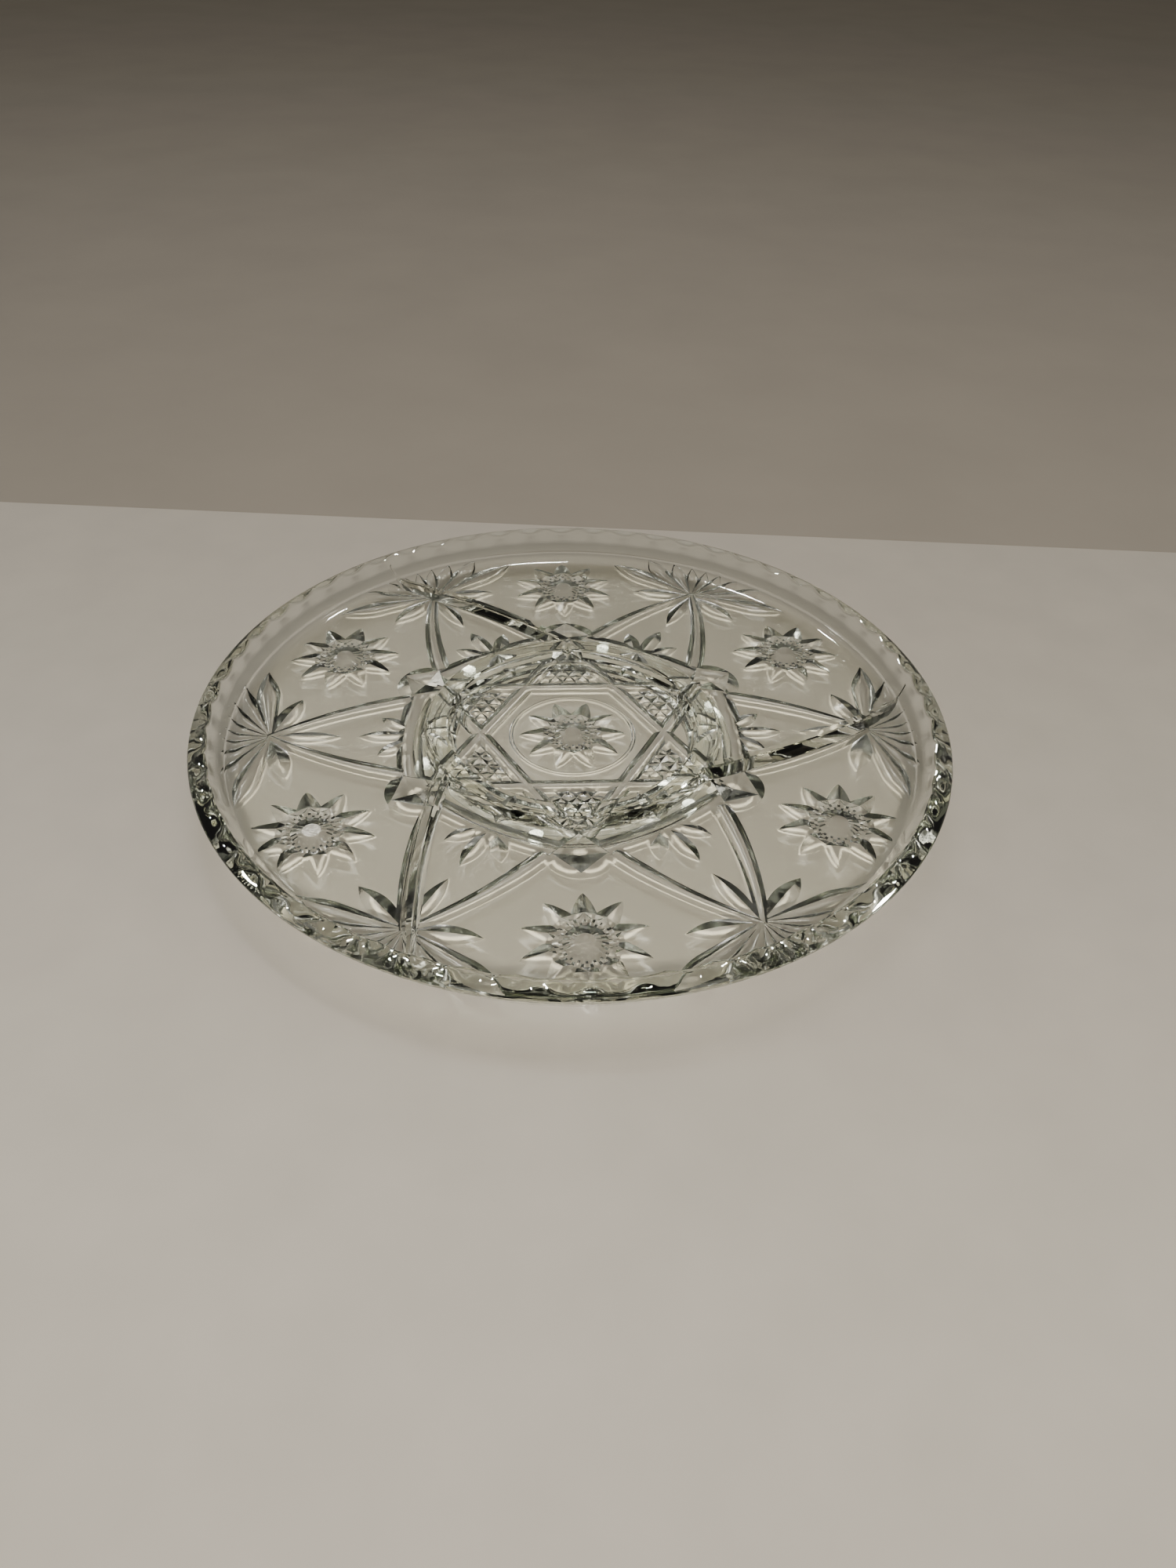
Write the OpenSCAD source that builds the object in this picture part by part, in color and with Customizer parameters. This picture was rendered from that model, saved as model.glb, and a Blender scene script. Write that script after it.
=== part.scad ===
// Divided glass turntable: a pressed glass serving tray, carried and turned by a
// low ring-shaped ball swivel that hides under the tray's centre ring.
// Millimetres, +Z up. The origin is on the turning axis, at table height.

/* [Glass tray] */
// Outside diameter of the tray at its widest edge
tray_d = 279.4; // [270:0.1:290]
// Thickness of the glass floor
floor_t = 5; // [4.6:0.1:5.6]
// Height of the rim's crest above the tray's underside
rim_h = 18.7; // [18:0.1:20]
// Number of scallops round the rim
scallops = 58; // [40:1:64]
// Depth of each scallop
scallop_depth = 1.3; // [0.6:0.1:1.6]

/* [Centre ring and dividers] */
// Mean diameter of the raised centre ring
ring_d = 105; // [100:1:110]
// Height of the centre ring and dividers above the floor
ridge_h = 4.8; // [3:0.1:6]
// Width of the centre ring across its flat top
ring_top_w = 5.4; // [4:0.1:6]
// Number of swirl dividers
dividers = 3; // [2:1:4]
// Radius of the curve that each swirl divider follows
swirl_r = 300; // [280:5:340]

/* [Pressed star pattern] */
// Depth of the pattern in the underside
cut_depth = 2.2; // [1.2:0.1:2.6]
// Width of the straight bars of the pattern
bar_w = 6.6; // [5:0.1:7.5]
// Number of points of the star
star_points = 6; // [6:1:6]
// Number of petals in each rosette
petals = 10; // [8:1:12]
// Radius of a rosette over its petals' tips
rosette_r = 22; // [18:0.5:23]

/* [Ball swivel] */
// Diameter of the circle that the balls run on
race_d = 106; // [104:1:108]
// Diameter of a ball
ball_d = 2; // [1.9:0.05:2.1]
// Number of balls
balls = 24; // [12:4:36]
// Running clearance round each ball
ball_gap = 0.05; // [0.03:0.01:0.1]
// Outside diameter of the swivel
swivel_d = 120; // [118:1:124]
// Number of feet, and of grip pads
pads = 6; // [3:1:8]
// Height that a foot or pad stands proud of its ring
pad_proud = 0.4; // [0.3:0.1:1]

/* [Hidden] */
$fn = 96;

eps = 0.01;
glass_col = [0.86, 0.9, 0.85, 0.45];
clear_col = [0.88, 0.92, 0.94, 0.5];
pad_col = [0.9, 0.92, 0.92, 0.6];
cage_col = [0.93, 0.93, 0.9];
ball_col = [0.8, 0.86, 0.85];

// swivel levels, from the table up
plate_t = 1.25;
race_gap = 0.8;
pad_d = 5;
pad_sunk = 0.4;
pad_inset = 0.6;
pad_turn = 0.25;
ring_chamfer = 0.4;
ball_r = ball_d / 2;
race_r = race_d / 2;
groove_r = ball_r + ball_gap;
base_z = pad_proud;
base_top = base_z + plate_t;
turn_z = base_top + race_gap;
turn_top = turn_z + plate_t;
ball_z = (base_top + turn_z) / 2;
swivel_r = swivel_d / 2;
pad_ring_r = swivel_r - pad_d / 2 - pad_inset;
tray_z = turn_top + pad_proud;

// the hub, with the keeper ring that stops the turning ring lifting off
hub_in_r = 44.5;
hub_r = 46.5;
hub_gap = 0.4;
keeper_t = 0.6;
keeper_gap = 0.25;
keeper_lap = 1.8;
keeper_z = tray_z - keeper_t - keeper_gap;
keeper_r = hub_r + keeper_lap;
shoulder_top = keeper_z - keeper_gap;

// the cage between the two rings
cage_t = 0.3;
cage_w = 5.6;
cage_hole_gap = 0.15;

// tray outline
tray_r = tray_d / 2;
edge_z = 14.3;
edge_h = 1;
bevel_in = 2.4;
bevel_h = 1.1;
crest_in = 5.7;
lip_in = 6.6;
lip_drop = 0.5;
edge_flare = 0.7;
scallop_tilt = 17;
cutter_reach = 10;
wall_top_r = tray_r - lip_in;
wall_low_r = tray_r - 11.4;
bend_r = 5;
foot_r = tray_r - 12.2;
foot_bend_r = 7;
foot_rise = 1.4;

// ridges on the tray
ridge_base_w = 11;
divider_top_w = 3;
divider_drop = 0.3;
divider_base_w = 7;
ridge_round = 1.2;
ridge_root = 1;
swirl_start_r = 54.5;
swirl_start_a = -30.9;
swirl_heading = 48.1;
swirl_length = 93;

// star pattern, in parts of the tray's radius
hex_line = 0.221;
fan_place = 0.818;
rosette_place = 0.759;
gem_place = 0.476;
centre_rosette = 0.93;
petal_notch = 0.62;
rosette_flat = 0.1;

// gems of the pattern, and the gap that keeps crossing bars apart at a tip
gem_r = 10.5;
gem_flat_r = 3;
tip_gap = 1;

// ---- glass tray ----

module scallop_cutters() {
    pitch = 360 / scallops;
    chord = 2 * tray_r * sin(pitch / 2);
    cutter_r = chord * chord / (8 * scallop_depth) + scallop_depth / 2;
    for (i = [0 : scallops - 1])
        rotate([0, 0, (i + 0.5) * pitch])
            translate([tray_r - crest_in, 0, rim_h - scallop_depth])
                rotate([0, 90 + scallop_tilt, 0])
                    translate([-cutter_r, 0, -cutter_reach])
                        cylinder(h = 2 * cutter_reach, r = cutter_r, $fn = 48);
}

module tray_section() {
    difference() {
        polygon([
            [0, 0],
            [foot_r - foot_bend_r, 0],
            [foot_r, foot_rise],
            [tray_r - edge_flare, edge_z - edge_h],
            [tray_r, edge_z],
            [tray_r, edge_z + edge_h],
            [tray_r - bevel_in, edge_z + edge_h + bevel_h],
            [tray_r - crest_in, rim_h],
            [wall_top_r, rim_h - lip_drop],
            [wall_low_r, floor_t + bend_r],
            [wall_low_r - bend_r, floor_t + bend_r],
            [wall_low_r - bend_r, floor_t],
            [0, floor_t],
        ]);
        translate([wall_low_r - bend_r, floor_t + bend_r])
            circle(r = bend_r);
    }
}

module ridge_section(top_w, base_w, h) {
    polygon([
        [-base_w / 2, -ridge_root],
        [base_w / 2, -ridge_root],
        [base_w / 2, 0],
        [top_w / 2 + ridge_round / 2, h - ridge_round],
        [top_w / 2, h],
        [-top_w / 2, h],
        [-top_w / 2 - ridge_round / 2, h - ridge_round],
        [-base_w / 2, 0],
    ]);
}

module centre_ring() {
    translate([0, 0, floor_t])
        rotate_extrude()
            translate([ring_d / 2, 0])
                ridge_section(ring_top_w, ridge_base_w, ridge_h);
}

module divider() {
    start = swirl_start_r * [cos(swirl_start_a), sin(swirl_start_a)];
    away = swirl_heading + swirl_start_a;
    translate([start[0] - swirl_r * sin(away), start[1] + swirl_r * cos(away), floor_t])
        rotate([0, 0, away - 90])
            rotate_extrude(angle = swirl_length / swirl_r * 180 / PI)
                translate([swirl_r, 0])
                    ridge_section(divider_top_w, divider_base_w, ridge_h - divider_drop);
}

// A groove pressed along +X from the origin, as wide as w, with a round bottom
module bar_cut(length, w) {
    r = (w * w / 4 + cut_depth * cut_depth) / (2 * cut_depth);
    translate([0, 0, cut_depth - r])
        rotate([0, 90, 0])
            cylinder(h = length, r = r);
}

// A rosette of pointed petals, each a V groove that deepens towards the middle
module rosette_cut(r) {
    translate([0, 0, -eps])
        linear_extrude(height = cut_depth + eps, scale = rosette_flat)
            polygon([
                for (i = [0 : 2 * petals - 1])
                    let (reach = i % 2 == 0 ? r : r * petal_notch)
                        [reach * cos(180 * i / petals), reach * sin(180 * i / petals)]
            ]);
}

module hexagram_cut() {
    half = tray_r * hex_line * 2 * cos(30) - tip_gap;
    for (i = [0 : star_points - 1])
        rotate([0, 0, i * 360 / star_points])
            translate([-half, -tray_r * hex_line, 0])
                bar_cut(2 * half, bar_w);
}

module star_bar_cut(side) {
    gem = tray_r * gem_place * [cos(30), side * sin(30)];
    fan = [tray_r * fan_place, 0];
    along = gem - fan;
    translate([fan[0], fan[1], 0])
        rotate([0, 0, atan2(along[1], along[0])])
            bar_cut(norm(along) - gem_r + bar_w / 2, bar_w);
}

module star_cut() {
    for (i = [0 : star_points - 1])
        rotate([0, 0, i * 360 / star_points]) {
            star_bar_cut(1);
            star_bar_cut(-1);
        }
}

module gem_cuts() {
    for (i = [0 : star_points - 1])
        rotate([0, 0, 30 + i * 360 / star_points])
            translate([tray_r * gem_place, 0, -eps])
                cylinder(h = cut_depth, r1 = gem_r, r2 = gem_flat_r);
}

module outer_rosette_cuts() {
    for (i = [0 : star_points - 1])
        rotate([0, 0, 30 + i * 360 / star_points])
            translate([tray_r * rosette_place, 0, 0])
                rosette_cut(rosette_r);
}

module tray_shell() {
    difference() {
        rotate_extrude()
            tray_section();
        scallop_cutters();
    }
}

// The shell with its underside pressed, one motif after another
module pressed_shell() {
    difference() {
        difference() {
            difference() {
                tray_shell();
                hexagram_cut();
            }
            star_cut();
        }
        gem_cuts();
        outer_rosette_cuts();
        rosette_cut(rosette_r * centre_rosette);
    }
}

module glass_tray() {
    color(glass_col)
        translate([0, 0, tray_z])
            union() {
                pressed_shell();
                centre_ring();
                for (i = [0 : dividers - 1])
                    rotate([0, 0, i * 360 / dividers])
                        divider();
            }
}

// ---- swivel ----

// Raised dots on a circle, which are the feet or the grip pads
module pad_circle(z, h) {
    for (i = [0 : pads - 1])
        rotate([0, 0, (i + pad_turn) * 360 / pads])
            translate([pad_ring_r, 0, z])
                cylinder(h = h, d = pad_d);
}

module race_groove() {
    translate([0, 0, ball_z])
        rotate_extrude()
            translate([race_r, 0])
                circle(r = groove_r, $fn = 48);
}

module grip_pads() {
    color(pad_col)
        pad_circle(turn_top - pad_sunk, pad_proud + pad_sunk);
}

module turn_ring() {
    color(clear_col)
        difference() {
            rotate_extrude()
                polygon([
                    [hub_r + hub_gap, turn_z],
                    [swivel_r, turn_z],
                    [swivel_r, turn_top - ring_chamfer],
                    [swivel_r - ring_chamfer, turn_top],
                    [keeper_r + hub_gap, turn_top],
                    [keeper_r + hub_gap, shoulder_top],
                    [hub_r + hub_gap, shoulder_top],
                ]);
            race_groove();
            pad_circle(turn_top - pad_sunk, plate_t);
        }
}

module keeper_ring() {
    color(clear_col)
        translate([0, 0, keeper_z])
            difference() {
                cylinder(h = keeper_t, r = keeper_r);
                translate([0, 0, -eps])
                    cylinder(h = keeper_t + 2 * eps, r = hub_in_r);
            }
}

module ball_cage() {
    color(cage_col)
        difference() {
            translate([0, 0, ball_z - cage_t / 2])
                difference() {
                    cylinder(h = cage_t, r = race_r + cage_w / 2);
                    translate([0, 0, -eps])
                        cylinder(h = cage_t + 2 * eps, r = race_r - cage_w / 2);
                }
            for (i = [0 : balls - 1])
                rotate([0, 0, i * 360 / balls])
                    translate([race_r, 0, ball_z - cage_t])
                        cylinder(h = 2 * cage_t, r = ball_r + cage_hole_gap, $fn = 32);
        }
}

module bearing_balls() {
    color(ball_col)
        for (i = [0 : balls - 1])
            rotate([0, 0, i * 360 / balls])
                translate([race_r, 0, ball_z])
                    sphere(r = ball_r, $fn = 32);
}

module base_ring() {
    color(clear_col)
        difference() {
            rotate_extrude()
                polygon([
                    [hub_in_r, base_z],
                    [swivel_r - ring_chamfer, base_z],
                    [swivel_r, base_z + ring_chamfer],
                    [swivel_r, base_top],
                    [hub_r, base_top],
                    [hub_r, keeper_z],
                    [hub_in_r, keeper_z],
                ]);
            race_groove();
            pad_circle(base_z - plate_t + pad_sunk, plate_t);
        }
}

module base_feet() {
    color(pad_col)
        pad_circle(0, pad_proud + pad_sunk);
}

glass_tray();
grip_pads();
turn_ring();
keeper_ring();
ball_cage();
bearing_balls();
base_ring();
base_feet();
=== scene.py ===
import math

import bmesh
import bpy
from mathutils import Matrix, Vector


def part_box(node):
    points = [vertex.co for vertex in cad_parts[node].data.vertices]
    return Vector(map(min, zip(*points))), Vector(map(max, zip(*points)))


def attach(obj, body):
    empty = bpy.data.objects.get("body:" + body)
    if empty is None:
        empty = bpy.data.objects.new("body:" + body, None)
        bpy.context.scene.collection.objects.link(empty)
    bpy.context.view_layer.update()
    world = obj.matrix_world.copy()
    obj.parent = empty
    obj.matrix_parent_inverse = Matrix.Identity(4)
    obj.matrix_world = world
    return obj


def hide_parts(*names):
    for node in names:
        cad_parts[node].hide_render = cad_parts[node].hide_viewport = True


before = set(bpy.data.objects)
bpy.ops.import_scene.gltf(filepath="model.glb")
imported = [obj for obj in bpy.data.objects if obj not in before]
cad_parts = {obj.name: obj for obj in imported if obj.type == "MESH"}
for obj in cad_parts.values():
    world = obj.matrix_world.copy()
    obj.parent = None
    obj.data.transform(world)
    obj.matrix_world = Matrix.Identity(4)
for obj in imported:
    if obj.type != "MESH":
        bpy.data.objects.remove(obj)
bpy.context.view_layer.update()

MM = 0.001
tray_low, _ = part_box("glass_tray")
TRAY_Z = tray_low.z / MM

# ---- sizes of the pressed tray, in millimetres; heights are above its underside ----

FLOOR_T = 5.0  # the floor is 5 mm thick, so its top is also at this height
RIM_H = 18.7  # height of the rim's crest
SCALLOPS = 58
STEPS = 12  # points round each scallop
SCALLOP_DEPTH = 1.8
SCALLOP_PULL = 0.25  # share of a scallop's depth by which its hollow also moves inward
BEND_R, BEND = 125.4, 7.6  # where the underside bends up, and the bend's own radius
WALL_R, WALL_LOW, WALL_SLOPE = 131.5, 3.07, 1.35  # foot of the outer wall, its height and its rise
FILLET_R, FILLET = 123.3, 5.0  # where the inner fillet starts, and its radius
INNER_R, INNER_LOW, INNER_SLOPE = 128.3, 10.0, 1.7  # the same for the inner wall
RING_FOLD = 102.2  # twice the centre ring's middle radius
DIVIDER_TOP = 9.5  # height of the swirl dividers
SWIRL_R = 300  # radius of the dividers' arcs
SWIRL_FROM, SWIRL_TURN = 54.5, -30.9  # radius and bearing where a divider leaves the ring
SWIRL_WAY = 48.1  # degrees by which it sets off to the left of that bearing
SWIRL_LENGTH, TAPER_LENGTH = 96, 32  # where on its arc it would taper to nothing, and the taper

# ---- sizes of the pressed pattern; radii are the distances of motifs from the tray's middle ----

CUT = 2.2  # depth of the pattern
FAN_R = 114.2
ROSETTE_R = 106.1
GEM_R = 66.5
PALMETTE_R = 57.6
HATCH_R = 40.4
LINE_R, LINE_HALF = 30.3, 53.0  # a star line's distance from the middle, and half its length
BAND_R, BAND_HALF = 59.4, 25.5
FLANK = 1.35  # how far a cutter runs on past its edge, as a share of its half width
DEEP = 3.0  # how far a groove's cutter reaches below the underside
SHALLOW = -1.5  # height at which the cutters of rosettes and gems start
FINEST = 0.01  # share of the width at which a pointed end stops
STAR = [60 * k for k in range(6)]
ROSETTE_AXES = [60 * k + 30 for k in range(6)]
SHARP_ANGLE = math.radians(14)  # edges sharper than this stay crisp
MERGE, SLIVER = 1e-6, 1e-7  # metres

# ---- small helpers ----


def turned(x, y, degrees):
    """The point (x, y) turned about the middle of the tray."""
    a = math.radians(degrees)
    return x * math.cos(a) - y * math.sin(a), x * math.sin(a) + y * math.cos(a)


def arc(centre, radius, start, end, steps):
    """Points of an arc in a profile, angles in degrees."""
    points = []
    for i in range(steps + 1):
        a = math.radians(start + (end - start) * i / steps)
        points.append((centre[0] + radius * math.cos(a), centre[1] + radius * math.sin(a)))
    return points


def point_at(start, degrees, length):
    """The point at a distance from another one, in a direction."""
    a = math.radians(degrees)
    return start[0] + length * math.cos(a), start[1] + length * math.sin(a)


def mesh_object(name, verts, faces):
    """A mesh object from points in millimetres above the tray's underside."""
    mesh = bpy.data.meshes.new(name)
    mesh.from_pydata([(x * MM, y * MM, (z + TRAY_Z) * MM) for x, y, z in verts], [], faces)
    bm = bmesh.new()
    bm.from_mesh(mesh)
    bmesh.ops.remove_doubles(bm, verts=bm.verts, dist=MERGE)
    bmesh.ops.dissolve_degenerate(bm, edges=bm.edges, dist=SLIVER)
    bmesh.ops.recalc_face_normals(bm, faces=bm.faces)
    bm.to_mesh(mesh)
    bm.free()
    made = bpy.data.objects.new(name, mesh)
    bpy.context.scene.collection.objects.link(made)
    return made


def loft(name, rings, closed=False):
    """A solid through rings of equally many points, capped at its ends or closed on itself."""
    n = len(rings[0])
    verts = [p for ring in rings for p in ring]
    faces = []
    for i in range(len(rings) if closed else len(rings) - 1):
        a, b = i * n, (i + 1) % len(rings) * n
        for j in range(n):
            k = (j + 1) % n
            faces.append((a + j, a + k, b + k, b + j))
    if not closed:
        faces.append(tuple(range(n)))
        faces.append(tuple(range(len(verts) - 1, len(verts) - n - 1, -1)))
    return mesh_object(name, verts, faces)


# ---- the tray's lathed body ----


def outer_profile():
    """Underside bend and outer wall, as (radius, height, share of the scallop)."""
    bend = arc((BEND_R, BEND), BEND, -90, -90 + 53.4, 12)
    wall = [(134.0, 6.45), (136.5, 9.83), (139.0, 13.2)]
    edge = [(139.45, 13.9), (139.7, 14.5), (139.7, 15.2), (139.35, 15.6)]
    return [(124.6, 0.0, 0.0)] + [(r, z, 0.0) for r, z in bend + wall + edge]


def rim_profile():
    """The bevel, the scalloped facet and the rolled crest, in the same terms."""
    return [
        (138.4, 16.05, 0.0),
        (137.4, 16.38, 0.0),
        (136.9, 16.75, 0.16),
        (136.3, 17.22, 0.4),
        (135.7, 17.68, 0.65),
        (135.1, 18.12, 0.87),
        (134.65, 18.42, 1.0),
        (134.2, 18.64, 1.0),
        (133.8, 18.7, 1.0),
        (133.4, 18.58, 1.0),
        (133.1, 18.28, 0.96),
        (132.8, 17.75, 0.86),
        (132.35, 16.9, 0.62),
        (131.7, 15.8, 0.3),
        (130.9, 14.4, 0.1),
    ]


def inner_profile():
    """The inner wall, its fillet, the floor and the centre ring; none of it is scalloped."""
    wall = [(129.9, 12.7), (129.0, 11.2)]
    fillet = arc((FILLET_R, INNER_LOW), FILLET, 0, -90, 14)
    side = [(57.4, 5.0), (56.8, 5.06), (56.3, 5.3), (56.0, 5.8), (55.5, 7.9)]
    top = [(55.25, 8.9), (54.95, 9.4), (54.5, 9.7), (53.9, 9.8)]
    outside = side + top
    inside = [(RING_FOLD - r, z) for r, z in reversed(outside)]
    floor = [(122.6, FLOOR_T), (58.4, FLOOR_T)]
    rows = wall + fillet + floor + outside + inside + [(44.2, FLOOR_T)]
    return [(r, z, 0.0) for r, z in rows]


def scallop(angle):
    """Depth of the scalloped rim at an angle, from 0 on a crest to 1 in a hollow."""
    u = (angle * SCALLOPS / (2 * math.pi)) % 1 - 0.5
    return 0.6 * (1 - 4 * u * u) + 0.4 * (0.5 + 0.5 * math.cos(2 * math.pi * u))


def lathed_body():
    """The tray without its dividers and pressed pattern."""
    rings = []
    count = SCALLOPS * STEPS
    for r, z, share in outer_profile() + rim_profile() + inner_profile():
        ring = []
        for i in range(count):
            a = 2 * math.pi * i / count
            drop = SCALLOP_DEPTH * share * scallop(a)
            out = r - SCALLOP_PULL * drop
            ring.append((out * math.cos(a), out * math.sin(a), z - drop))
        rings.append(ring)
    return loft("pressed_glass_tray", rings)


def inner_height(r):
    """Height of the tray's inside at a radius."""
    if r < FILLET_R:
        return FLOOR_T
    if r < INNER_R:
        return INNER_LOW - math.sqrt(FILLET**2 - (r - FILLET_R) ** 2)
    return INNER_LOW + (r - INNER_R) * INNER_SLOPE


def under_height(r):
    """Height of the tray's outside at a radius."""
    if r < BEND_R:
        return 0.0
    if r < WALL_R:
        return BEND - math.sqrt(BEND**2 - (r - BEND_R) ** 2)
    return WALL_LOW + (r - WALL_R) * WALL_SLOPE


# ---- swirl dividers ----


def divider_section(top, base, height):
    """A divider's outline, from the half widths of its top and base and its height."""
    right = [(base, -1.0), (base, 0.0), (base * 0.86 + top * 0.14, 0.25)]
    right += [(top * 0.75 + base * 0.25, height * 0.72), (top * 1.05, height * 0.9)]
    right += [(top * 0.72, height * 0.98), (top * 0.3, height)]
    return right + [(-x, z) for x, z in reversed(right)]


def divider(turn):
    """One swirl divider: a low wall on an arc, which tapers as it climbs the rim."""
    start = turned(SWIRL_FROM, 0, SWIRL_TURN)
    away = math.radians(SWIRL_WAY + SWIRL_TURN)
    middle = (start[0] - SWIRL_R * math.sin(away), start[1] + SWIRL_R * math.cos(away))
    rings = []
    for i in range(49):
        s = -2.5 + i * 2.0
        a = away - math.pi / 2 + s / SWIRL_R
        out = (math.cos(a), math.sin(a))
        x, y = middle[0] + SWIRL_R * out[0], middle[1] + SWIRL_R * out[1]
        floor = inner_height(math.hypot(x, y))
        taper = min(1.0, max(0.0, (SWIRL_LENGTH - s) / TAPER_LENGTH)) ** 0.8
        top = max(DIVIDER_TOP, floor + 0.9) - FLOOR_T
        ring = []
        for u, z in divider_section(0.25 + 1.3 * taper, 0.7 + 2.8 * taper, top):
            px, py = turned(x + out[0] * u, y + out[1] * u, turn)
            ring.append((px, py, FLOOR_T + z))
        rings.append(ring)
    return loft("divider", rings)


# ---- cutters of the pressed pattern ----


def groove(name, path, half_w, depth, round_bottom, turn):
    """A groove along a path over the tray's outside, with a half width and depth at each point."""
    lanes = [-1.0, -0.5, 0.0, 0.5, 1.0]
    if round_bottom:
        lanes = [-1.0 + i / 6 for i in range(13)]
    rings = []
    for i, (x, y) in enumerate(path):
        a, b = path[max(i - 1, 0)], path[min(i + 1, len(path) - 1)]
        length = math.hypot(b[0] - a[0], b[1] - a[1])
        side = (-(b[1] - a[1]) / length, (b[0] - a[0]) / length)
        w, d = half_w[i], depth[i]
        ring = []
        for t in [-FLANK] + lanes + [FLANK]:
            px, py = x + side[0] * w * t, y + side[1] * w * t
            rise = d * (1 - t * t) if round_bottom else d * (1 - abs(t))
            ring.append((*turned(px, py, turn), under_height(math.hypot(px, py)) + rise))
        for t in (FLANK, -FLANK):
            px, py = x + side[0] * w * t, y + side[1] * w * t
            ring.append((*turned(px, py, turn), under_height(math.hypot(px, py)) - DEEP))
        rings.append(ring)
    return loft(name, rings)


def bowed(start, end, bow, steps):
    """Points from start to end on a shallow curve that stands bow off the straight line."""
    dx, dy = end[0] - start[0], end[1] - start[1]
    length = math.hypot(dx, dy)
    points = []
    for i in range(steps + 1):
        t = i / steps
        off = 4 * bow * t * (1 - t)
        x = start[0] + dx * t - dy / length * off
        y = start[1] + dy * t + dx / length * off
        points.append((x, y))
    return points


def leaf(name, centre, angle, length, half_w, depth, turn, heel=0.42, widest=0.55):
    """A pointed leaf with a V bottom; heel is its share of width at the centre."""
    steps = 18
    widths = []
    for i in range(steps + 1):
        t = i / steps
        if t < widest:
            swell = heel + (1 - heel) * math.sin(t / widest * math.pi / 2)
        else:
            swell = 1 - ((t - widest) / (1 - widest)) ** 2
        widths.append(half_w * max(swell, FINEST))
    depths = [depth * w / half_w for w in widths]
    path = bowed(centre, point_at(centre, angle, length), 0.0, steps)
    return groove(name, path, widths, depths, False, turn)


def flute(centre, angle, length, half_w, depth, turn):
    """A rounded groove of a fan, which runs up the outside of the wall."""
    steps = 20
    heel, widest = 0.22, 0.62
    widths = []
    depths = []
    for i in range(steps + 1):
        t = i / steps
        swell = heel + 0.78 * min(t / widest, 1) ** 0.9
        if t > widest:
            swell *= 1 - ((t - widest) / 0.38) ** 2.2
        w = half_w * max(swell, FINEST)
        widths.append(w)
        depths.append(depth * min(1.0, 0.35 + 0.65 * w / half_w) if w > 0.05 * half_w else 0.02)
    path = bowed(centre, point_at(centre, angle, length), 0.0, steps)
    return groove("flute", path, widths, depths, True, turn)


def even(count, value):
    """The same value for every point of a path."""
    return [value] * count


def hexagram(turn):
    """One straight bar of the six-pointed star."""
    path = bowed((LINE_R, -LINE_HALF), (LINE_R, LINE_HALF), 0.0, 4)
    return groove("star_line", path, even(5, 3.35), even(5, CUT), True, turn)


def fan(turn):
    """The fan of leaves and flutes at a point of the outer star."""
    centre = (FAN_R, 0.0)
    made = [leaf("fan_leaf", centre, 180, 26.2, 3.2, 2.0, turn)]
    for side in (1, -1):
        made.append(leaf("fan_leaf", centre, side * 110.5, 25.6, 4.1, CUT, turn, 0.3))
        made.append(flute(centre, side * 79, 43.0, 5.0, 2.2, turn))
        made.append(flute(centre, side * 60, 32.5, 4.6, 2.1, turn))
        made.append(flute(centre, side * 41, 24.5, 4.2, 2.0, turn))
        made.append(flute(centre, side * 20.5, 20.6, 3.6, 1.9, turn))
    made.append(flute(centre, 0, 19.4, 3.4, 1.9, turn))
    return made


def star_bars(turn):
    """The two curved bars from a fan to the gems beside it."""
    made = []
    for side in (1, -1):
        path = bowed((115.0, 0.0), (63.0, side * 23.1), -side * 2.4, 14)
        widths = [2.1 + 1.6 * min(1.0, i / 11) for i in range(15)]
        depths = [1.8 + 0.4 * i / 14 for i in range(15)]
        made.append(groove("star_bar", path, widths, depths, True, turn))
    return made


def band(turn):
    """The wide bar that joins two gems behind a palmette."""
    path = bowed((BAND_R, -BAND_HALF), (BAND_R, BAND_HALF), -2.2, 12)
    return groove("band", path, even(13, 4.9), even(13, CUT), True, turn)


def palmette(turn):
    """Six leaves about the middle of a band."""
    centre = (PALMETTE_R, 0.0)
    made = [leaf("palm_leaf", centre, 0, 23.6, 3.3, CUT, turn, 0.3, 0.62)]
    made.append(leaf("palm_leaf", centre, 180, 14.0, 2.5, 1.9, turn, 0.3, 0.6))
    for side in (1, -1):
        made.append(leaf("palm_leaf", centre, side * 36, 19.4, 3.3, CUT, turn, 0.3, 0.62))
        made.append(leaf("palm_leaf", centre, side * 138, 14.4, 2.6, 1.9, turn, 0.3, 0.6))
    return made


def polar_solid(name, place, turn, rings):
    """A solid through rings given about a place on the axis that turn points along."""
    moved = []
    for ring in rings:
        moved.append([(*turned(place + x, y, turn), z) for x, y, z in ring])
    return loft(name, moved)


def rosette_outline(q, scale):
    """A point of one petal's edge, with q from -1 at one notch through 0 at the tip to 1."""
    reach = 22.0 - 8.9 * (0.4 * abs(q) + 0.6 * q * q)
    return reach * scale, 4.26 * q * scale


def spoke_ring(radii, heights, scale):
    """A ring of 120 points through nodes every 9 degrees that repeat with the petals."""
    nodes = []
    for i in range(40):
        a = math.radians(9 * i - 18)
        r = radii[i % 4] * scale
        nodes.append((r * math.cos(a), r * math.sin(a), heights[i % 4]))
    ring = []
    for i, p in enumerate(nodes):
        q = nodes[(i + 1) % 40]
        for j in range(3):
            ring.append(tuple(p[k] + (q[k] - p[k]) * j / 3 for k in range(3)))
    return ring


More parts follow.
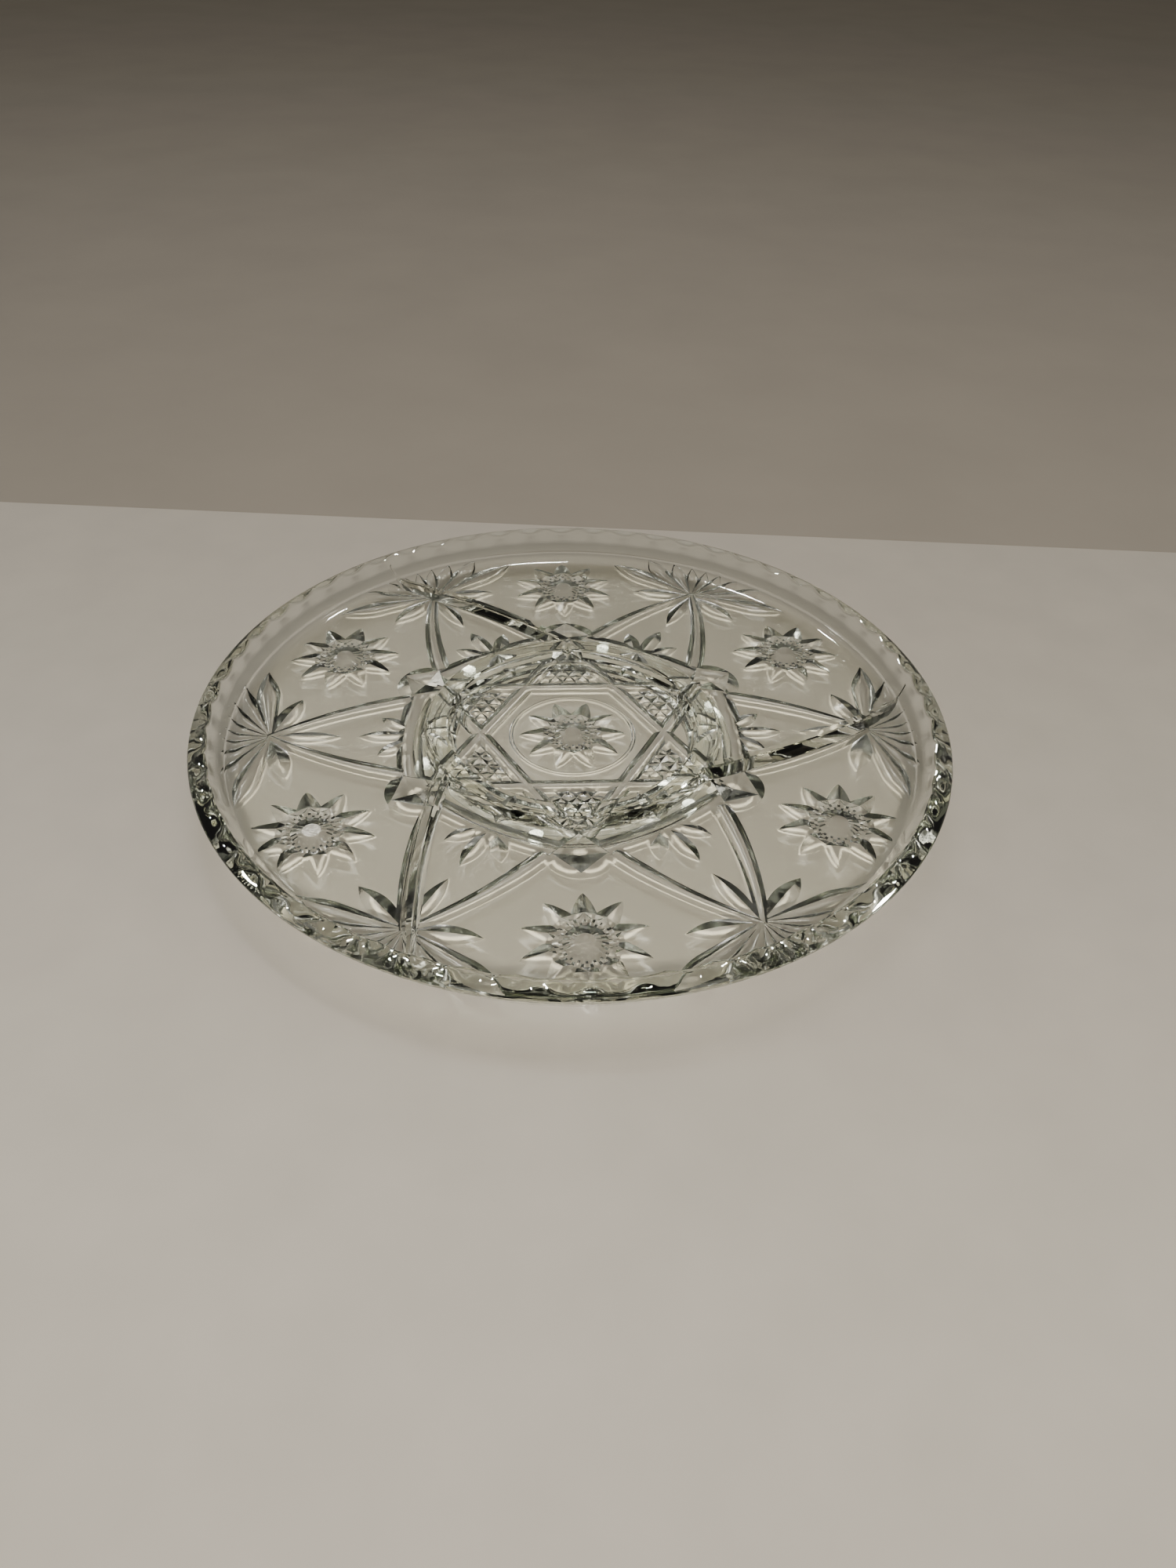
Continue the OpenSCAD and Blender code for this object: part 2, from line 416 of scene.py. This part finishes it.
def rosette(place, turn, scale):
    """Ten pointed petals round a ring of small diamonds and a facetted bowl."""
    low, edge, valley = [], [], []
    for petal in range(10):
        for j in range(12):
            q = -1 + j / 6
            x, y = rosette_outline(q, scale)
            px, py = turned(x, y, 36 * petal)
            low.append((px * 1.02, py * 1.02, SHALLOW))
            edge.append((px, py, 0.0 if j else 0.06))
            reach = 12.4 if j else 12.6
            vx, vy = turned(reach * scale, 0, 36 * petal - (0 if j else 18))
            valley.append((vx, vy, CUT if j else 0.75))
    crown = spoke_ring([10.6, 10.2, 10.0, 10.2], [0.25, 1.3, 0.7, 1.3], scale)
    diamonds = spoke_ring([8.7, 8.6, 8.7, 8.6], [1.3, 0.35, 1.3, 0.35], scale)
    lip = spoke_ring([7.4, 7.4, 7.4, 7.4], [0.5, 1.0, 0.5, 1.0], scale)
    bowl = spoke_ring([5.2, 5.1, 5.2, 5.1], [1.9, 2.05, 1.9, 2.05], scale)
    window = spoke_ring([3.2, 3.2, 3.2, 3.2], [2.6, 2.6, 2.6, 2.6], scale)
    rings = [low, edge, valley, crown, diamonds, lip, bowl, window]
    return polar_solid("rosette", place, turn, rings)


def gem(turn):
    """A rounded recess with a four-sided point left standing in it."""
    low, edge, foot, break_line, point = [], [], [], [], []
    for i in range(48):
        a = math.radians(7.5 * i)
        c, s = math.cos(a), math.sin(a)
        reach = 11.0 if c >= 0 else 12.0
        shape = 2.0 if c >= 0 else 1.35
        out = (abs(c / reach) ** shape + abs(s / 12.2) ** shape) ** (-1 / shape)
        diamond = 1 / (abs(c) / 9.6 + abs(s) / 9.6)
        low.append((out * c * 1.03, out * s * 1.03, SHALLOW))
        edge.append((out * c, out * s, 0.0))
        foot.append((diamond * c, diamond * s, 2.5))
        break_line.append((diamond * c * 0.55, diamond * s * 0.55, 1.35))
        point.append((diamond * c * 0.02, diamond * s * 0.02, 0.1))
    return polar_solid("gem", GEM_R, turn, [low, edge, foot, break_line, point])


def hatching(turn):
    """Crossing V grooves that fill a small triangle with little diamonds."""
    made = []
    for way in range(3):
        for step in (3.4, 8.2, 13.0):
            half = 11.7 * (1 - step / 20.25) + 1.2
            ends = [(step - 6.75, -half), (step - 6.75, half)]
            path = []
            for x, y in bowed(ends[0], ends[1], 0.0, 8):
                px, py = turned(x, y, 120 * way)
                path.append((HATCH_R + px, py))
            fade = [min(1.0, min(i, 8 - i) / 2 + 0.05) for i in range(9)]
            widths = [2.3 * f for f in fade]
            depths = [1.15 * f for f in fade]
            made.append(groove("hatch", path, widths, depths, False, turn))
    return made


def thin_circle(radius):
    """A fine line pressed all the way round."""
    rings = []
    for i in range(180):
        a = math.radians(2 * i)
        ring = []
        for u, z in ((-0.6, -0.3), (0.0, 0.3), (0.6, -0.3)):
            ring.append(((radius + u) * math.cos(a), (radius + u) * math.sin(a), z))
        rings.append(ring)
    return loft("thin_circle", rings, closed=True)


def pattern_cutters():
    """Every cutter of the pattern."""
    lines = [hexagram(t) for t in ROSETTE_AXES]
    bands = [band(t) for t in STAR]
    bars = [bar for t in STAR for bar in star_bars(t)]
    leaves = [part for t in STAR for part in palmette(t) + fan(t)]
    gems = [gem(t) for t in ROSETTE_AXES]
    rosettes = [rosette(ROSETTE_R, t, 1.0) for t in ROSETTE_AXES] + [rosette(0.0, 0, 0.93)]
    fine = [part for t in ROSETTE_AXES for part in hatching(t)]
    fine += [thin_circle(22.9), thin_circle(24.0)]
    return lines + bands + bars + leaves + gems + rosettes + fine


# ---- joining and cutting ----


def combine(target, parts, operation):
    """Joins the parts to the target, or cuts them from it, and removes them."""
    group = bpy.data.collections.new("parts")
    bpy.context.scene.collection.children.link(group)
    for part in parts:
        bpy.context.scene.collection.objects.unlink(part)
        group.objects.link(part)
    step = target.modifiers.new(operation, "BOOLEAN")
    step.operation = operation
    step.solver = "MANIFOLD"
    step.operand_type = "COLLECTION"
    step.collection = group
    if operation == "DIFFERENCE":
        for part in parts:
            part.data.polygons.foreach_set("material_index", [1] * len(part.data.polygons))
    shown = target.evaluated_get(bpy.context.evaluated_depsgraph_get())
    target.data = bpy.data.meshes.new_from_object(shown)
    target.modifiers.clear()
    for part in parts:
        bpy.data.objects.remove(part)
    bpy.data.collections.remove(group)


def smooth_with_creases(target, angle):
    """Smooth shading that keeps every crease sharper than the angle."""
    mesh = target.data
    mesh.shade_smooth()
    mesh.set_sharp_from_angle(angle=angle)
    even_out = target.modifiers.new("even_normals", "WEIGHTED_NORMAL")
    even_out.keep_sharp = True
    even_out.weight = 100


def mark_pressed_faces(mesh):
    """Keeps the slot that the cutters gave their faces as a face attribute, with one slot left."""
    slots = [0] * len(mesh.polygons)
    mesh.polygons.foreach_get("material_index", slots)
    pressed = mesh.attributes.new("pressed", "FLOAT", "FACE")
    pressed.data.foreach_set("value", [float(slot == 1) for slot in slots])
    mesh.polygons.foreach_set("material_index", [0] * len(slots))
    while len(mesh.materials) > 1:
        mesh.materials.pop()


def glass_tray():
    """The pressed glass tray, as one detailed piece."""
    tray = lathed_body()
    tray.data.materials.append(glass_material())
    tray.data.materials.append(tray.data.materials[0])
    combine(tray, [divider(120 * k) for k in range(3)], "UNION")
    combine(tray, pattern_cutters(), "DIFFERENCE")
    mark_pressed_faces(tray.data)
    smooth_with_creases(tray, SHARP_ANGLE)
    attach(tray, "tray")
    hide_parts("glass_tray")


# ---- materials ----

GLASS_IOR, PLASTIC_IOR, SILICONE_IOR = 1.51, 1.49, 1.41
GLASS_BODY, GLASS_DENSITY = (0.74, 0.77, 0.65, 1), 36.0  # the glass's own tint, per metre
NOISE_LOW, NOISE_HIGH = 0.3, 0.7  # the range that most of Blender's noise lies in

# Painted shadow and light: lamp light that clear faces let through onto what lies below, as (how
# far the face leans from the light, share), darker for leaning faces and above 1 for painted
# caustic light ...
THIN_SLOPES = [(0.0, 0.995), (0.5, 0.98), (0.8, 0.94), (1.0, 0.85)]
PLAIN_SLOPES = [(0.0, 1.0), (0.32, 1.0), (0.52, 0.6), (1.0, 0.2)]
PRESSED_SLOPES = [(0.0, 1.3), (0.15, 1.1), (0.3, 0.75), (0.5, 0.45), (1.0, 0.25)]
# ... and as (share of the rim's height, share), a painted shadow under the rim, and (share of the
# pattern's depth, share), painted caustic lines at the grooves' edges and painted shade inside
# them.
RIM_PAINTED_SHADOW = [(0.0, 1.0), (0.54, 1.0), (0.7, 0.66), (1.0, 0.5)]
PRESSED_PAINTED_LIGHT = [(0.0, 5.0), (0.18, 4.5), (0.3, 0.42), (0.6, 0.5), (1.0, 0.8)]


def new_material(name):
    """A material with one Principled shader on its surface."""
    material = bpy.data.materials.new(name)
    material.use_nodes = True
    nodes = material.node_tree.nodes
    nodes.clear()
    out = nodes.new("ShaderNodeOutputMaterial")
    shader = nodes.new("ShaderNodeBsdfPrincipled")
    material.node_tree.links.new(shader.outputs["BSDF"], out.inputs["Surface"])
    return material, shader, out


def object_noise(material, scale, detail):
    """Noise in the piece's own coordinates."""
    tree = material.node_tree
    where = tree.nodes.new("ShaderNodeTexCoord")
    noise = tree.nodes.new("ShaderNodeTexNoise")
    noise.inputs["Scale"].default_value = scale
    noise.inputs["Detail"].default_value = detail
    tree.links.new(where.outputs["Object"], noise.inputs["Vector"])
    return noise


def add_bump(material, shader, noise, distance, strength):
    """Noise as relief on the shader, with its height in metres."""
    tree = material.node_tree
    bump = tree.nodes.new("ShaderNodeBump")
    bump.inputs["Distance"].default_value = distance
    bump.inputs["Strength"].default_value = strength
    tree.links.new(noise.outputs["Fac"], bump.inputs["Height"])
    tree.links.new(bump.outputs["Normal"], shader.inputs["Normal"])
    return bump


def add_ramp(material, source, low, high, socket):
    """Turns noise into a range of values on a socket."""
    tree = material.node_tree
    spread = tree.nodes.new("ShaderNodeMapRange")
    spread.inputs["From Min"].default_value = NOISE_LOW
    spread.inputs["From Max"].default_value = NOISE_HIGH
    spread.inputs["To Min"].default_value = low
    spread.inputs["To Max"].default_value = high
    tree.links.new(source.outputs["Fac"], spread.inputs["Value"])
    tree.links.new(spread.outputs["Result"], socket)


def shades(material, source, stops):
    """A ramp through (position, grey) stops, a trace yellower than grey."""
    ramp = material.node_tree.nodes.new("ShaderNodeValToRGB")
    points = ramp.color_ramp.elements
    points[0].position, points[1].position = stops[0][0], stops[-1][0]
    for position, _ in stops[1:-1]:
        points.new(position)
    for point, (_, grey) in zip(points, stops):
        point.color = (grey, grey, grey * 0.985, 1)
    material.node_tree.links.new(source, ramp.inputs["Fac"])
    return ramp.outputs["Color"]


def slope_shade(material, slopes):
    """How much lamp light a face lets through, by how far it leans from the light's way: a painted
    shadow for light the face would bend away.
    """
    slope = material.node_tree.nodes.new("ShaderNodeLayerWeight")
    return shades(material, slope.outputs["Facing"], slopes)


def height_shade(material, top, heights):
    """How much lamp light gets through by height: painted caustic lines and painted shade under
    the grooves, painted shadow under the rim.
    """
    tree = material.node_tree
    where = tree.nodes.new("ShaderNodeTexCoord")
    parts = tree.nodes.new("ShaderNodeSeparateXYZ")
    rise = tree.nodes.new("ShaderNodeMapRange")
    rise.inputs["From Min"].default_value = TRAY_Z * MM
    rise.inputs["From Max"].default_value = (TRAY_Z + top) * MM
    tree.links.new(where.outputs["Object"], parts.inputs["Vector"])
    tree.links.new(parts.outputs["Z"], rise.inputs["Value"])
    return shades(material, rise.outputs["Result"], heights)


def blend(material, kind, share, first, second):
    """Mixes two sockets, or multiplies them where kind is MULTIPLY."""
    mix = material.node_tree.nodes.new("ShaderNodeMix")
    mix.data_type = "RGBA"
    mix.blend_type = kind
    share_in, first_in, second_in = mix.inputs[0], mix.inputs[6], mix.inputs[7]
    share_in.default_value = 1.0
    if share:
        material.node_tree.links.new(share, share_in)
    material.node_tree.links.new(first, first_in)
    material.node_tree.links.new(second, second_in)
    return mix.outputs[2]


def lets_lamps_through(material, shader, out, shade):
    """Lets lamp light past the surface, coloured by the shade, so that it casts a glass shadow
    whose darkness, and any brightening, is painted by that shade.
    """
    tree = material.node_tree
    path = tree.nodes.new("ShaderNodeLightPath")
    clear = tree.nodes.new("ShaderNodeBsdfTransparent")
    mix = tree.nodes.new("ShaderNodeMixShader")
    tree.links.new(shade, clear.inputs["Color"])
    tree.links.new(path.outputs["Is Shadow Ray"], mix.inputs[0])
    tree.links.new(shader.outputs["BSDF"], mix.inputs[1])
    tree.links.new(clear.outputs["BSDF"], mix.inputs[2])
    tree.links.new(mix.outputs["Shader"], out.inputs["Surface"])


def glass_skin(material, shader, pressed):
    """The glass's surface: wavy all over, with a fine stipple on the pressed faces, whose greyer
    colour is partly the stipple's light loss and partly painted shade in the grooves.
    """
    tree = material.node_tree
    # greyer glass on the pressed faces: painted shade in the grooves, with some of the stipple's
    # light loss
    tint = tree.nodes.new("ShaderNodeValToRGB")
    tint.color_ramp.elements[0].color = (0.98, 0.985, 0.975, 1)
    tint.color_ramp.elements[1].color = (0.86, 0.865, 0.84, 1)
    tree.links.new(pressed, tint.inputs["Fac"])
    tree.links.new(tint.outputs["Color"], shader.inputs["Base Color"])
    stipple = object_noise(material, 1600, 2)
    rough = tree.nodes.new("ShaderNodeMath")
    rough.operation = "MULTIPLY"
    add_ramp(material, stipple, 0.03, 0.1, rough.inputs[0])
    tree.links.new(pressed, rough.inputs[1])
    tree.links.new(rough.outputs["Value"], shader.inputs["Roughness"])
    wavy = add_bump(material, shader, object_noise(material, 140, 1), 0.00012, 0.25)
    grain = add_bump(material, shader, stipple, 0.00003, 0.5)
    tree.links.new(wavy.outputs["Normal"], grain.inputs["Normal"])
    tree.links.new(pressed, grain.inputs["Strength"])


def glass_shade(material, pressed):
    """The painted shadow and painted caustic light that the tray casts on what lies below, from
    its plain faces and from its pressed ones.
    """
    plain_painted_shadow = height_shade(material, RIM_H, RIM_PAINTED_SHADOW)
    plain_painted_shadow = blend(material, "MULTIPLY", None, slope_shade(material, PLAIN_SLOPES), plain_painted_shadow)
    pressed_painted_light = height_shade(material, CUT, PRESSED_PAINTED_LIGHT)
    pressed_painted_light = blend(material, "MULTIPLY", None, slope_shade(material, PRESSED_SLOPES), pressed_painted_light)
    return blend(material, "MIX", pressed, plain_painted_shadow, pressed_painted_light)


def glass_material():
    """Pressed glass, olive where it is thick, which tells pressed faces from plain ones."""
    material, shader, out = new_material("tray_glass")
    tree = material.node_tree
    shader.inputs["Transmission Weight"].default_value = 1.0
    shader.inputs["IOR"].default_value = GLASS_IOR
    faces = tree.nodes.new("ShaderNodeAttribute")
    faces.attribute_name = "pressed"
    pressed = faces.outputs["Fac"]
    glass_skin(material, shader, pressed)
    # the tray's shadow carries painted caustic lines and painted shade instead of traced caustics
    lets_lamps_through(material, shader, out, glass_shade(material, pressed))
    body = tree.nodes.new("ShaderNodeVolumeAbsorption")
    body.inputs["Color"].default_value = GLASS_BODY
    body.inputs["Density"].default_value = GLASS_DENSITY
    tree.links.new(body.outputs["Volume"], out.inputs["Volume"])
    return material


def make_clear(shader, colour, transmission, ior):
    """Sets what clear materials have in common."""
    shader.inputs["Base Color"].default_value = (*colour, 1)
    shader.inputs["Transmission Weight"].default_value = transmission
    shader.inputs["IOR"].default_value = ior


def clear_plastic():
    """The moulded clear plastic of the three rings."""
    material, shader, out = new_material("clear_plastic")
    make_clear(shader, (0.975, 0.98, 0.975), 1.0, PLASTIC_IOR)
    add_ramp(material, object_noise(material, 300, 2), 0.01, 0.06, shader.inputs["Roughness"])
    add_bump(material, shader, object_noise(material, 700, 2), 0.00003, 0.2)
    lets_lamps_through(material, shader, out, slope_shade(material, THIN_SLOPES))
    return material


def clear_silicone():
    """The slightly matt silicone of the pads and feet."""
    material, shader, out = new_material("clear_silicone")
    make_clear(shader, (0.95, 0.96, 0.95), 0.92, SILICONE_IOR)
    add_ramp(material, object_noise(material, 400, 2), 0.18, 0.34, shader.inputs["Roughness"])
    add_bump(material, shader, object_noise(material, 1500, 3), 0.00003, 0.4)
    lets_lamps_through(material, shader, out, slope_shade(material, THIN_SLOPES))
    return material


def cage_plastic():
    """The milkier plastic of the ball cage."""
    material, shader, out = new_material("cage_plastic")
    make_clear(shader, (0.95, 0.95, 0.94), 0.9, PLASTIC_IOR)
    add_ramp(material, object_noise(material, 500, 3), 0.05, 0.2, shader.inputs["Roughness"])
    add_bump(material, shader, object_noise(material, 1200, 2), 0.00002, 0.3)
    lets_lamps_through(material, shader, out, slope_shade(material, THIN_SLOPES))
    return material


def ball_glass():
    """The polished glass of the balls."""
    material, shader, out = new_material("ball_glass")
    make_clear(shader, (0.97, 0.98, 0.97), 1.0, GLASS_IOR)
    add_ramp(material, object_noise(material, 900, 2), 0.0, 0.03, shader.inputs["Roughness"])
    add_bump(material, shader, object_noise(material, 2500, 1), 0.00001, 0.2)
    lets_lamps_through(material, shader, out, slope_shade(material, THIN_SLOPES))
    return material


def give(obj, material):
    """Makes this the object's only material."""
    obj.data.materials.clear()
    obj.data.materials.append(material)


def dress_swivel():
    """Materials of the swivel, whose shapes are carried over from the CAD model."""
    plastic, silicone = clear_plastic(), clear_silicone()
    for name in ("turn_ring", "keeper_ring", "base_ring"):
        give(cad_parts[name], plastic)
    for name in ("grip_pads", "base_feet"):
        give(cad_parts[name], silicone)
    give(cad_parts["ball_cage"], cage_plastic())
    give(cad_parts["bearing_balls"], ball_glass())


# ---- stage, light and camera ----

SCENE_TURN = -4.0  # degrees by which the camera, lights and table are turned about the tray
GROUND_REACH, TABLE_REACH = 4.0, 1.6  # metres from the middle
TABLE_EDGE = 0.1374, 0.2176  # how far behind the middle the table ends, right and left
TABLE_THICK, GROUND_THICK = 0.02, 0.01
LAMP_COLOUR = (1.0, 0.965, 0.92)
GLINT_COLOUR = (1.0, 0.97, 0.93)
GLINT_SIZE = (0.16, 0.12)
BOUNCES = 28


def stage_material(name, colour, rough, grain):
    """A matt surface with a faint mottle."""
    material, shader, _ = new_material(name)
    noise = object_noise(material, grain, 6)
    ramp = material.node_tree.nodes.new("ShaderNodeValToRGB")
    ramp.color_ramp.elements[0].position = NOISE_LOW
    ramp.color_ramp.elements[0].color = (*[c * 0.96 for c in colour], 1)
    ramp.color_ramp.elements[1].position = NOISE_HIGH
    ramp.color_ramp.elements[1].color = (*[c * 1.03 for c in colour], 1)
    material.node_tree.links.new(noise.outputs["Fac"], ramp.inputs["Fac"])
    material.node_tree.links.new(ramp.outputs["Color"], shader.inputs["Base Color"])
    shader.inputs["Roughness"].default_value = rough
    return material


def slab(name, corners, top, thick, material):
    """A flat slab over plan corners in metres, turned with the camera."""
    verts = []
    for z in (top, top - thick):
        for x, y in corners:
            verts.append((*turned(x, y, SCENE_TURN), z))
    n = len(corners)
    faces = [tuple(range(n)), tuple(range(2 * n - 1, n - 1, -1))]
    faces += [(i, n + i, n + (i + 1) % n, (i + 1) % n) for i in range(n)]
    mesh = bpy.data.meshes.new(name)
    mesh.from_pydata(verts, [], faces)
    made = bpy.data.objects.new(name, mesh)
    bpy.context.scene.collection.objects.link(made)
    give(made, material)


def stage():
    """A pale table whose far edge lies just behind the tray, over a plain darker ground."""
    pale = stage_material("pale_table", (0.60, 0.54, 0.44), 0.6, 35)
    ground = stage_material("plain_ground", (0.40, 0.345, 0.27), 0.9, 12)
    right, left = TABLE_EDGE
    r = TABLE_REACH
    slab("table", [(-r, -r), (r, -r), (r, right), (-r, left)], 0.0, TABLE_THICK, pale)
    r = GROUND_REACH
    slab("ground", [(-r, -r), (r, -r), (r, r), (-r, r)], -TABLE_THICK, GROUND_THICK, ground)


def area_light(name, place, size, power, colour):
    """A rectangular lamp, in metres and watts, that faces the tray."""
    data = bpy.data.lights.new(name, "AREA")
    data.shape = "RECTANGLE"
    data.size, data.size_y = size
    data.energy = power
    data.color = colour
    light = bpy.data.objects.new(name, data)
    light.location = (*turned(place[0], place[1], SCENE_TURN), place[2])
    light.rotation_euler = (-light.location).to_track_quat("-Z", "Y").to_euler()
    bpy.context.scene.collection.objects.link(light)
    return light


def lights():
    """Two lamps that light the scene, and four small ones seen only as glints in the glass."""
    for name, place, size, power in (
        ("key", (0.02, -0.72, 0.68), (0.09, 0.09), 6.6),
        ("soft", (0.1, 0.5, 1.4), (0.9, 0.7), 3.2),
    ):
        light = area_light(name, place, size, power, LAMP_COLOUR)
        light.visible_glossy = False
        light.visible_transmission = False
    for name, place, power in (
        ("glint_above", (0.1, 0.4, 1.7), 18),
        ("glint_left", (-1.1, 0.5, 1.2), 20),
        ("glint_right", (1.2, 0.3, 1.1), 20),
        ("glint_behind", (-0.35, 0.75, 1.7), 18),
    ):
        light = area_light(name, place, GLINT_SIZE, power, GLINT_COLOUR)
        light.visible_diffuse = False


def room():
    """A dim, even light from all sides."""
    world = bpy.data.worlds.new("soft_room")
    world.use_nodes = True
    back = world.node_tree.nodes["Background"]
    back.inputs["Color"].default_value = (0.78, 0.76, 0.70, 1)
    back.inputs["Strength"].default_value = 0.2
    bpy.context.scene.world = world


def camera():
    """The photograph's view: 40.5 degrees down, from 0.42 m, with the camera a little tilted."""
    pitch, roll, distance = math.radians(-40.5), math.radians(1.787), 0.42486
    forward = Vector((0, math.cos(pitch), math.sin(pitch)))
    right = Vector((1, 0, 0))
    up = right.cross(forward)
    across = right * math.cos(roll) + up * math.sin(roll)
    upward = up * math.cos(roll) - right * math.sin(roll)
    look = Vector((0.00657, -0.0282, 0.006))
    view = Matrix((across, upward, -forward)).transposed().to_4x4()
    view.translation = look - forward * distance
    data = bpy.data.cameras.new("camera")
    data.lens = 26.72
    data.sensor_width = 36
    data.clip_start = 0.01
    made = bpy.data.objects.new("camera", data)
    made.matrix_world = Matrix.Rotation(math.radians(SCENE_TURN), 4, "Z") @ view
    bpy.context.scene.collection.objects.link(made)
    bpy.context.scene.camera = made


def light_paths():
    """Enough bounces for light to pass the tray and the swivel, and no traced caustics."""
    cycles = bpy.context.scene.cycles
    cycles.max_bounces = BOUNCES
    cycles.transmission_bounces = BOUNCES
    cycles.transparent_max_bounces = BOUNCES
    cycles.caustics_refractive = False
    cycles.caustics_reflective = False


glass_tray()
dress_swivel()
stage()
lights()
room()
camera()
light_paths()
